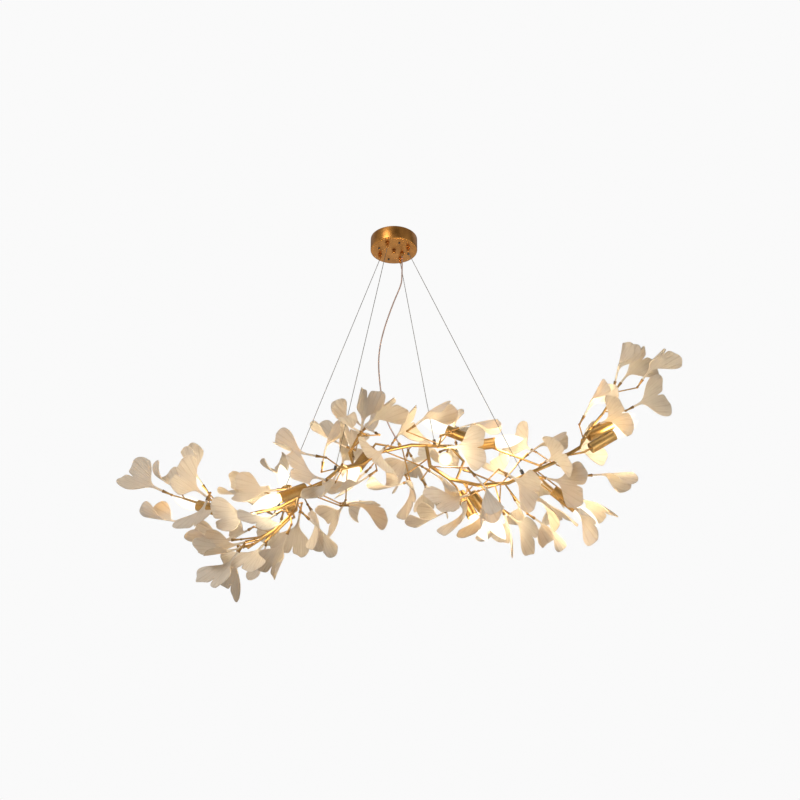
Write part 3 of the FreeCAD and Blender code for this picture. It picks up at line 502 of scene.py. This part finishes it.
def moulded_plastic(name, colour, roughness, transmission=0.0):
    """Moulded plastic."""
    finish = Finish(name)
    effect = finish.effect(MOTTLED, colour=(*colour, 1))
    body = finish.add("BsdfPrincipled", roughness=roughness, transmission_weight=transmission)
    finish.link(effect["Color"], body.inputs["Base Color"])
    finish.link(effect["Normal"], body.inputs["Normal"])
    return finish.done(body.outputs["BSDF"])


ZINC = brushed_metal("zinc_steel", (0.50, 0.51, 0.53), (0.70, 0.71, 0.73), 0.28, (1.0, 1.0, 0.1))
TERMINAL = moulded_plastic("terminal_plastic", (0.80, 0.79, 0.76), 0.5)

for node, material in (("mounting_plate", ZINC), ("cup_pillars", ZINC), ("terminal_block", TERMINAL)):
    for place in frame["nodes"][node].material_slots:
        place.material = material

# ---------------------------------------------------------------- power cord
# A round cord, 4 mm across, with a smooth pinkish jacket. It hangs in a slow curve from the gland
# under the cup to the gland on the branch.

BOARD_DISTANCE = 2970 * MM
FORWARD = Vector((0, math.cos(TILT), math.sin(TILT)))
BOARD_UP = Vector((0, -math.sin(TILT), math.cos(TILT)))
BOARD_ACROSS = Vector((1, 0, 0))


def sight(across, up, behind):
    """The point with y = behind that is seen at this spot of the drawing board, all in mm."""
    ray = FORWARD * BOARD_DISTANCE + (BOARD_ACROSS * across + BOARD_UP * up) * MM
    return EYE + ray * ((behind * MM - EYE.y) / ray.y)


# the route on the drawing board: across, up, behind, in mm
CORD_SPOTS = (
    (6, 330, 9),
    (2, 308, 6),
    (-14, 272, 4),
    (-27, 238, 4),
    (-41, 198, 6),
    (-52, 157, 6),
    (-57, 122, 12),
    (-58, 89, 22),
    (-55, 50, 34),
    (-50, 10, 40),
    (-44, -30, 38),
    (-32, -66, 34),
    (-14, -98, 26),
)
CORD_DIAMETER = 4 * MM
MOUTH_CORNERS = 8  # of the lower gland's end, where the cord goes in
JACKET = moulded_plastic("cord_jacket", (0.62, 0.43, 0.35), 0.3, 0.25)

cord_start = foot_place("cord_gland").translation
route = [sight(*spot) for spot in CORD_SPOTS]
mouth = merged("lower_gland")
corners = sorted((corner.co.copy() for corner in mouth.verts), key=lambda co: (co - route[-1]).length)
mouth.free()
cord_end = sum(corners[:MOUTH_CORNERS], Vector()) / MOUTH_CORNERS
route = [cord_start, *route, cord_end]
curve = bpy.data.curves.new("power_cord_line", "CURVE")
curve.dimensions = "3D"
spline = curve.splines.new("NURBS")
spline.points.add(len(route) - 1)
for point, place in zip(spline.points, route):
    point.co = (*place, 1)
spline.order_u = 3
spline.use_endpoint_u = True
spline.resolution_u = 8
line = bpy.data.objects.new("power_cord_line", curve)
path = [corner.co.copy() for corner in bpy.data.meshes.new_from_object(line).vertices]
curve.bevel_depth = CORD_DIAMETER / 2
curve.bevel_resolution = 4
curve.use_fill_caps = True
cord = bpy.data.objects.new("cord", bpy.data.meshes.new_from_object(line))
bpy.data.objects.remove(line)
cord.data.materials.clear()
cord.data.materials.append(JACKET)
scene.collection.objects.link(cord)
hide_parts("power_cord")
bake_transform(cord)

# ---------------------------------------------------------------- suspension wires
# Thin steel ropes of six strands laid round each other, taut between the grippers and the clasps
# on the branch.

ROPE_CROWN, ROPE_VALLEY = 0.95, 0.76  # radii over the strands and between them
ROPE_STRANDS = 6
ROPE_LAY = 13.0  # the length of one turn
ROPE_STEP = 1.6
END_CORNERS = 8  # of the CAD wire's end
WIRE_STEEL = brushed_metal(
    "wire_steel", dark=(0.12, 0.105, 0.085), light=(0.30, 0.265, 0.225), shine=0.35, grain=(1.0, 1.0, 4.0)
)


def aimed(place, direction):
    """A matrix that moves the origin to place and turns +Z to direction."""
    turn = Vector(direction).normalized().to_track_quat("Z", "Y").to_matrix().to_4x4()
    return Matrix.Translation(Vector(place)) @ turn


def wire_ends(node):
    """The middles of a wire's upper and lower end."""
    bm = merged(node)
    corners = sorted((corner.co.copy() for corner in bm.verts), key=lambda spot: -spot.z)
    bm.free()
    ends = corners[:END_CORNERS], corners[-END_CORNERS:]
    return [sum(end, Vector()) / END_CORNERS for end in ends]


wires = [wire_ends(f"wire_{number}") for number in range(1, 5)]
for number, (top, foot) in enumerate(wires, 1):
    place = aimed(foot, top - foot)
    length = (top - foot).length
    steps = round(length / (ROPE_STEP * MM))
    rope = bmesh.new()
    ring = bmesh.ops.create_circle(
        rope, segments=2 * ROPE_STRANDS, radius=ROPE_CROWN * MM, matrix=place
    )
    for valley in ring["verts"][::2]:
        valley.co = place.translation + (valley.co - place.translation) * (ROPE_VALLEY / ROPE_CROWN)
    bmesh.ops.contextual_create(rope, geom=rope.edges[:])
    laid = bmesh.ops.spin(
        rope, geom=rope.edges[:], cent=place.translation, axis=place.col[2].to_3d(),
        dvec=(top - foot) / steps, angle=2 * math.pi * length / (ROPE_LAY * MM), steps=steps,
        use_duplicate=False,
    )
    last = [part for part in laid["geom_last"] if isinstance(part, bmesh.types.BMEdge)]
    bmesh.ops.contextual_create(rope, geom=last)
    node = f"wire_{number}"
    settle(rope, node + "_rope", f"suspension_{number}", WIRE_STEEL, [node])

# ---------------------------------------------------------------- wire clasps
# Blackened steel cups, turned and brazed on the branch, with a groove under the rim. A set screw
# inside each one holds its wire's end.

CLASP_PROFILE = (
    (0, 0), (2.7, 0), (3.4, 0.6), (4.3, 1.9), (4.5, 2.6), (4.5, 9.2), (4.2, 9.6), (4.2, 10.3),
    (4.5, 10.7), (4.5, 12.5), (4.1, 13), (2.9, 13), (2.5, 12.6), (2.5, 4.4), (2.2, 4), (0, 4),
)
WIRE_IN_CLASP = 6.0  # from the clasp's base to the wire's end

clasps = bmesh.new()
for top, foot in wires:
    base = foot - (top - foot).normalized() * WIRE_IN_CLASP * MM
    turned(clasps, CLASP_PROFILE, aimed(base, top - foot), sides=24)
settle(clasps, "clasps", "fixture", DARK_STEEL, ["wire_clasps"])

# ---------------------------------------------------------------- stems, side branches and rods
# Solid brass rods, bent and brazed end to flank, brushed and then browned. The solids are kept,
# with their many sides rounded off.

BRASS = brushed_metal("brushed_brass", (0.34, 0.19, 0.06), (0.58, 0.36, 0.13), 0.26, (1.0, 1.0, 0.06))
# smoothing a many-sided rod draws it in, so it is first grown by this much
GROWTH = {"stem": 0.24, "side": 0.27, "lamp": 0.48, "twigs": 0.5, "lower": 0.3}
FLAT = math.radians(0.5)


def ring_edges(bm):
    """The edges that run round a rod, at its ends and at its bends."""
    found = {edge for face in bm.faces if len(face.verts) > 4 for edge in face.edges}
    queue = list(found)
    while queue:
        edge = queue.pop()
        for face in edge.link_faces:
            if len(face.verts) != 4:
                continue
            across = next(other for other in face.edges if not set(other.verts) & set(edge.verts))
            if across not in found:
                found.add(across)
                queue.append(across)
    return found


for node in sorted(frame["nodes"]):
    if not node.startswith(("stem_", "side_", "lamp_arms", "twigs_", "lower_gland")):
        continue
    rods = merged(node)
    bmesh.ops.dissolve_limit(
        rods, angle_limit=FLAT, use_dissolve_boundaries=False, verts=rods.verts, edges=rods.edges
    )
    rods.normal_update()
    for corner in rods.verts:
        corner.co += corner.normal * GROWTH[node.split("_")[0]] * MM
    crease = rods.edges.layers.float.new("crease_edge")
    for edge in ring_edges(rods):
        edge[crease] = 1.0
    piece_from(rods, node + "_round", "fixture", BRASS, [node], levels=2)

# ---------------------------------------------------------------- lamp sleeves and holders
# Deep brass sleeves with a rolled mouth, each brazed on its arm, and the black moulded screw
# holders inside them.

SLEEVE_PROFILE = (
    (0, 0), (9, 0), (13.6, 0.3), (14.8, 1.5), (15, 3), (15, 71.5), (15.25, 72), (15.25, 75),
    (15, 76), (14, 76), (13.85, 75.4), (13.85, 8), (0, 8),
)
HOLDER_PROFILE = (
    (0, 39.2), (13.8, 39.2), (13.8, 67), (13.2, 68.6), (12, 69), (8, 69), (7.1, 68), (7.1, 46), (0, 46),
)
HOLDER = moulded_plastic("holder_plastic", (0.07, 0.065, 0.06), 0.5)

lamp_places = {
    joint["name"].split("_")[1]: aimed(joint["pos_m"], joint["axis"])
    for joint in frame["joints"]
    if joint["name"].endswith("_unscrew")
}
sleeves, holders = bmesh.new(), bmesh.new()
for place in lamp_places.values():
    turned(sleeves, SLEEVE_PROFILE, place)
    turned(holders, HOLDER_PROFILE, place)
settle(sleeves, "sleeves", "fixture", BRASS, ["lamp_sleeves"])
settle(holders, "holders", "fixture", HOLDER, ["lampholders"])

# ---------------------------------------------------------------- candle lamps
# Candle-shaped lamps of frosted glass with a zinc-plated screw cap. They are lit, white in the
# middle and warm yellow towards the edge, and light the leaves about them.

CAP_PROFILE = (
    (0, 47), (2.4, 47), (3, 48.6), (6, 50), (6.7, 50.8), (6.2, 52.2), (6.75, 53.6), (6.2, 55),
    (6.75, 56.4), (6.2, 57.8), (6.75, 59.2), (6.2, 60.6), (6.75, 62), (6.4, 64), (6.6, 69), (0, 69),
)
CAP_TOP = 69.0
GLASS_LENGTH = 84.0
GLASS_RADIUS = 18.3
# the glass, as shares of its length and of its largest radius
GLASS_SHAPE = (
    (0.0, 0.0), (0.0, 0.36), (0.015, 0.40), (0.06, 0.52), (0.13, 0.70), (0.22, 0.87), (0.32, 0.97),
    (0.42, 1.0), (0.52, 0.975), (0.62, 0.89), (0.72, 0.755), (0.81, 0.59), (0.89, 0.40), (0.95, 0.235),
    (0.985, 0.12), (1.0, 0.05), (1.0, 0.0),
)
# the glass's strength as it is seen, and as it lights what is round it
GLASS_FACE_GLOW, GLASS_CAST_GLOW = 1.25, 36.0
GLASS_MIDDLE, GLASS_EDGE = (1.0, 0.98, 0.90), (1.0, 0.74, 0.30)

nodes = Finish("lit_glass")
facing = nodes.add("LayerWeight", blend=0.35).outputs["Facing"]
face = nodes.add("Emission", strength=GLASS_FACE_GLOW)
nodes.link(nodes.ramp(facing, GLASS_MIDDLE, GLASS_EDGE, 0.45, 0.95), face.inputs["Color"])
cast = nodes.add("Emission", strength=GLASS_CAST_GLOW, color=(1.0, 0.80, 0.48, 1))
glow = nodes.blended(nodes.by_eye(), cast.outputs["Emission"], face.outputs["Emission"])
LIT_GLASS = nodes.done(glow)

glass_profile = [
    (radius * GLASS_RADIUS, CAP_TOP + share * GLASS_LENGTH) for share, radius in GLASS_SHAPE
]
for number, place in lamp_places.items():
    glass, cap = bmesh.new(), bmesh.new()
    turned(glass, glass_profile, place, sides=36)
    turned(cap, CAP_PROFILE, place, sides=28)
    settle(glass, f"glass_{number}", f"lamp_{number}", LIT_GLASS, ["bulb_" + number])
    settle(cap, f"cap_{number}", f"lamp_{number}", ZINC)

# ---------------------------------------------------------------- ginkgo leaves
# Unglazed porcelain, pressed thin in a ribbed mould and bent while soft, so that each leaf has its
# own waves, dents and lobes. Each CAD leaf gives the place, the turn and the bend of a finer one.
# A leaf lies along +Y from its foot, and its hollow side faces +Z.

LEAF_LENGTH = 118.0
HALF_LEAF = 68.0
BEND = {"open": 120.0, "cupped": 58.0, "curled": 33.0}
CURL = {"open": 0.10, "cupped": 0.16, "curled": 0.05}
FOOT_LIFT, BLADE_LIFT = 2.3, 1.5
CAD_RIM = ((2.5, 0.0), (3.0, 28.32), (14.96, 47.2), (47.6, 64.9), (68.0, 87.32), (40.8, 116.82))
CAD_HEART, CAD_NOTCH = 47.2, 97.94
FOOT_REACH = 7.2
FOOT_CORNERS = 4  # a corner at the foot has as many about it, itself included
NECK_REACH = 36.0
FIT_ROUNDS = 4
KNOWN_WITHIN = 0.5
# right half of the outline from the foot to the notch
RIM = (
    (2.5, 0), (2.7, 12), (3.5, 25), (7.2, 36), (16.5, 46), (32.5, 55), (48.5, 63.8), (61, 74),
    (67.8, 86), (66.5, 96), (60, 104.5), (50, 113), (40, 116.8), (29, 114.8), (17, 112.5),
    (8, 110), (3.6, 103), (0, 86),
)
STALK_END = 24.0
SPINE_END = 76.0
RIM_STEPS = 41
RIM_START = 80.0
RIM_DENT = 0.07
HALF_STEPS = 6
BLADE_START = 45.0
EDGE_THIN = 0.15
LOBE_WIDTHS = (0.94, 1.03)
WAVE_START = 30.0
# heights on the middle line that waves and dents fan out from, and a depth below it for ribs
WAVE_CENTRE, DENT_CENTRE, RIB_DROP = 12.0, 20.0, 15.0
RIB_STRETCH = (24.0, 1.6, 1.0)
RIB_DEPTH = 3 * MM
# painted shade: the colour is darkened in the rib grooves and left as it is on the ridges
RIB_GROOVE_PAINTED_SHADE = ((0.82, 0.79, 0.76), (1.0, 1.0, 1.0))
BODY_SHADES = ((0.56, 0.53, 0.49), (0.85, 0.825, 0.785))
THROUGH_COLOUR = (1.0, 0.79, 0.44, 1)
THROUGH_SHARE = 0.36
REACH = [np.array(side) / MM for side in cad_box]  # no leaf's wave goes past the whole piece's box


def porcelain():
    """Radial ribs with painted shade in their grooves, a cloudy tone, and warm light that comes through."""
    nodes = Finish("porcelain")
    rays = nodes.add("UVMap", uv_map="rays").outputs["UV"]
    ribs = nodes.noise(nodes.stretched(rays, RIB_STRETCH), 1.0, 2.0)
    cloud = nodes.noise(nodes.add("TexCoord").outputs["Object"], 22.0, 4.0)
    tone = nodes.add("Attribute", attribute_name="tone").outputs["Fac"]
    colour = nodes.ramp(nodes.mixed(0.5, cloud, tone), *BODY_SHADES, 0.25, 0.75)
    # painted shade in the rib grooves, from the same pattern as the ribs' bump, multiplied onto the tone
    painted_groove_shade = nodes.ramp(ribs, *RIB_GROOVE_PAINTED_SHADE, 0.34, 0.48)
    groove_shaded_colour = nodes.mixed(1.0, colour, painted_groove_shade, data_type="RGBA", blend_type="MULTIPLY")
    normal = nodes.bump(ribs, 0.9, RIB_DEPTH)
    skin = nodes.add("BsdfPrincipled", roughness=0.58)
    nodes.link(groove_shaded_colour, skin.inputs["Base Color"])
    nodes.link(normal, skin.inputs["Normal"])
    through = nodes.add("BsdfTranslucent", color=THROUGH_COLOUR)
    nodes.link(normal, through.inputs["Normal"])
    return nodes.done(nodes.blended(THROUGH_SHARE, skin.outputs["BSDF"], through.outputs["BSDF"]))


def bent_spot(kind, across, along, lift):
    """A spot of the flat leaf on the bent one, lifted off its middle surface."""
    radius = BEND[kind]
    angle = across / radius
    rise = CURL[kind] * LEAF_LENGTH * (along / LEAF_LENGTH) ** 2
    reach = radius - lift
    return np.array((reach * math.sin(angle), along, radius - reach * math.cos(angle) + rise))


def cad_leaf(kind):
    """The corners of a CAD leaf."""
    corners = []
    for side in (-1, 1):
        for spot, (across, along) in enumerate(CAD_RIM):
            lift = side * (FOOT_LIFT if spot < 2 else BLADE_LIFT)
            corners += [bent_spot(kind, turn * across, along, lift) for turn in (-1, 1)]
        corners += [bent_spot(kind, 0, along, side * BLADE_LIFT) for along in (CAD_HEART, CAD_NOTCH)]
    return np.array(corners)


def fitted(source, target):
    """The turn and the shift that bring the source points onto the target points."""
    middle_a, middle_b = source.mean(axis=0), target.mean(axis=0)
    u, s, vt = np.linalg.svd((source - middle_a).T @ (target - middle_b))
    flip = np.diag((1, 1, np.sign(np.linalg.det(u @ vt))))
    turn = (u @ flip @ vt).T
    return turn, middle_b - turn @ middle_a


def leaf_places(node):
    """Kind, turn and place of each leaf of a CAD node, found from its corners."""
    bm = merged(node)
    groups = [np.array([corner.co for corner in group]) / MM for group in islands(bm)]
    bm.free()
    places = []
    for corners in groups:
        gaps = np.linalg.norm(corners[:, None] - corners[None], axis=2)
        foot = corners[(gaps < FOOT_REACH).sum(axis=1) >= FOOT_CORNERS].mean(axis=0)
        away = np.linalg.norm(corners - foot, axis=1)
        neck = corners[(away > FOOT_REACH) & (away < NECK_REACH)].mean(axis=0)
        along = (neck - foot) / np.linalg.norm(neck - foot)
        lean = corners.mean(axis=0) - foot
        lean -= along * lean.dot(along)
        lean /= np.linalg.norm(lean)
        first = np.column_stack((np.cross(along, lean), along, lean))
        best = None
        for kind in BEND:
            model = cad_leaf(kind)
            turn, shift = first, foot
            for attempt in range(FIT_ROUNDS):
                here = model @ turn.T + shift
                nearest = np.linalg.norm(here[:, None] - corners[None], axis=2).argmin(axis=1)
                turn, shift = fitted(model, corners[nearest])
            miss = np.abs(model @ turn.T + shift - corners[nearest]).max()
            if best is None or miss < best[0]:
                best = (miss, kind, turn, shift)
        if best[0] > KNOWN_WITHIN:
            raise RuntimeError(f"{node}: a leaf isn't one of the known kinds, off by {best[0]:.2f} mm")
        places.append(best[1:])
    return places


def curve_through(points, count):
    """Evenly spread points on a smooth curve through some points."""
    before = 2 * np.array(points[0]) - np.array(points[1])
    after = 2 * np.array(points[-1]) - np.array(points[-2])
    knots = np.array([before, *points, after], dtype=float)
    found = []
    for share in np.linspace(0, len(points) - 1, count):
        spot = min(int(share), len(points) - 2)
        t = share - spot
        a, b, c, d = knots[spot : spot + 4]
        square, cube = 2 * a - 5 * b + 4 * c - d, 3 * b - a - 3 * c + d
        found.append(0.5 * (2 * b + (c - a) * t + square * t**2 + cube * t**3))
    return found


RIM_CURVE = curve_through(RIM, RIM_STEPS + 1)


def spine_height(step):
    """Where the ray to a rim point starts on the middle line."""
    rim_height = RIM_CURVE[step][1]
    start = next(index for index, spot in enumerate(RIM_CURVE) if spot[1] >= STALK_END)
    if step <= start:
        return rim_height
    share = (step - start) / (RIM_STEPS - start)
    return RIM_CURVE[start][1] + (SPINE_END - RIM_CURVE[start][1]) * share**0.8


SPINE = [spine_height(step) for step in range(RIM_STEPS + 1)]


def ruffle(across, along, wave):
    """How far the blade's edge waves off its bend."""
    reach = max(0.0, (along - WAVE_START) / (LEAF_LENGTH - WAVE_START))
    fan = math.atan2(across, along - WAVE_CENTRE)
    return reach**2 * (
        wave["depth"] * math.sin(wave["count"] * fan + wave["phase"])
        + wave["flare"] * (abs(across) / HALF_LEAF) ** 3
        + wave["tip"] * (along / LEAF_LENGTH) ** 4
    )


def dent(reach, height, side, wave):
    """Share by which the rim is drawn in, so that the lobes' edges are scalloped."""
    if height < RIM_START:
        return 0.0
    fan = math.atan2(side * reach, height - DENT_CENTRE)
    return RIM_DENT * (0.5 + 0.5 * math.sin(wave["dents"] * fan + wave["phase"]))


def add_leaf(bm, rays, tone, kind, turn, shift, seed):
    """One porcelain leaf, its two skins formed from flat sheets and joined round the rim."""
    chance = random.Random(seed)
    wave = {
        "depth": chance.uniform(2.4, 4.6),
        "count": chance.uniform(5.0, 8.0),
        "phase": chance.uniform(0, 2 * math.pi),
        "flare": chance.uniform(-11.0, 4.0),
        "tip": chance.uniform(-6.0, 4.0),
        "dents": chance.uniform(9.0, 13.0),
    }
    stretch = {-1: chance.uniform(*LOBE_WIDTHS), 1: chance.uniform(*LOBE_WIDTHS)}
    shade = chance.random()
    leaf = []
    fan = {}
    for face in (1, -1):
        skin = bmesh.ops.create_grid(bm, x_segments=2 * HALF_STEPS, y_segments=RIM_STEPS, size=1)["verts"]
        for corner in skin:
            share = abs(corner.co.x)
            side = 1 if corner.co.x > 0 else -1
            step = round((corner.co.y + 1) / 2 * RIM_STEPS)
            reach, height = RIM_CURVE[step]
            drawn_in = 1 - dent(reach, height, side, wave) * share
            across = side * reach * share * stretch[side] * drawn_in
            along = SPINE[step] + (height - SPINE[step]) * share * drawn_in
            thick = FOOT_LIFT + (BLADE_LIFT - FOOT_LIFT) * min(1.0, along / BLADE_START)
            thick *= 1 - EDGE_THIN * share**4
            lift = face * thick + ruffle(across, along, wave)
            spot = turn @ bent_spot(kind, across, along, lift) + shift
            corner.co = Vector(np.clip(spot, *REACH)) * MM
            corner[tone] = shade
            fan[corner] = (math.atan2(across, along + RIB_DROP), along / LEAF_LENGTH)
        bmesh.ops.remove_doubles(bm, verts=skin, dist=WELD)
        leaf += [corner for corner in skin if corner.is_valid]
    rims = {edge for corner in leaf for edge in corner.link_edges if edge.is_boundary}
    bmesh.ops.bridge_loops(bm, edges=list(rims))
    for face in {face for corner in leaf for face in corner.link_faces}:
        for loop in face.loops:
            loop[rays].uv = fan[loop.vert]


PORCELAIN = porcelain()
SEED_STEP = 100  # between the clusters' first seeds

leaf_feet = []
for order, node in enumerate(sorted(name for name in frame["nodes"] if name.startswith("leaves_"))):
    cluster = bmesh.new()
    rays = cluster.loops.layers.uv.new("rays")
    tone = cluster.verts.layers.float.new("tone")
    for number, (kind, turn, shift) in enumerate(leaf_places(node)):
        add_leaf(cluster, rays, tone, kind, turn, shift, SEED_STEP * order + number)
        leaf_feet.append((shift, turn[:, 1]))
    settle(cluster, node + "_porcelain", "fixture", PORCELAIN, [node], levels=1)

# ---------------------------------------------------------------- leaf sockets
# A turned and bronzed brass socket at each leaf's foot, flared towards the leaf, with the collar
# by which it is brazed on its rod. The leaf's foot is glued in.

SOCKET_LENGTH = 28.0
SOCKET_PROFILE = (
    (0, -1.2), (2.6, -1.2), (3.1, -0.6), (3.2, 3.4), (2.8, 4.2), (2.35, 6), (2.45, 10), (2.9, 16),
    (3.5, 22), (4.1, 26.8), (4.35, 28.2), (4.2, 28.8), (3.0, 29), (0, 29),
)
BRONZED = brushed_metal(
    "bronzed_brass", dark=(0.20, 0.11, 0.04), light=(0.40, 0.23, 0.09), shine=0.29, grain=(1.0, 1.0, 0.5)
)

sockets = bmesh.new()
for foot, along in leaf_feet:
    place = aimed((foot - along * SOCKET_LENGTH) * MM, along)
    turned(sockets, SOCKET_PROFILE, place, sides=18)
settle(sockets, "leaf_sockets", "fixture", BRONZED)
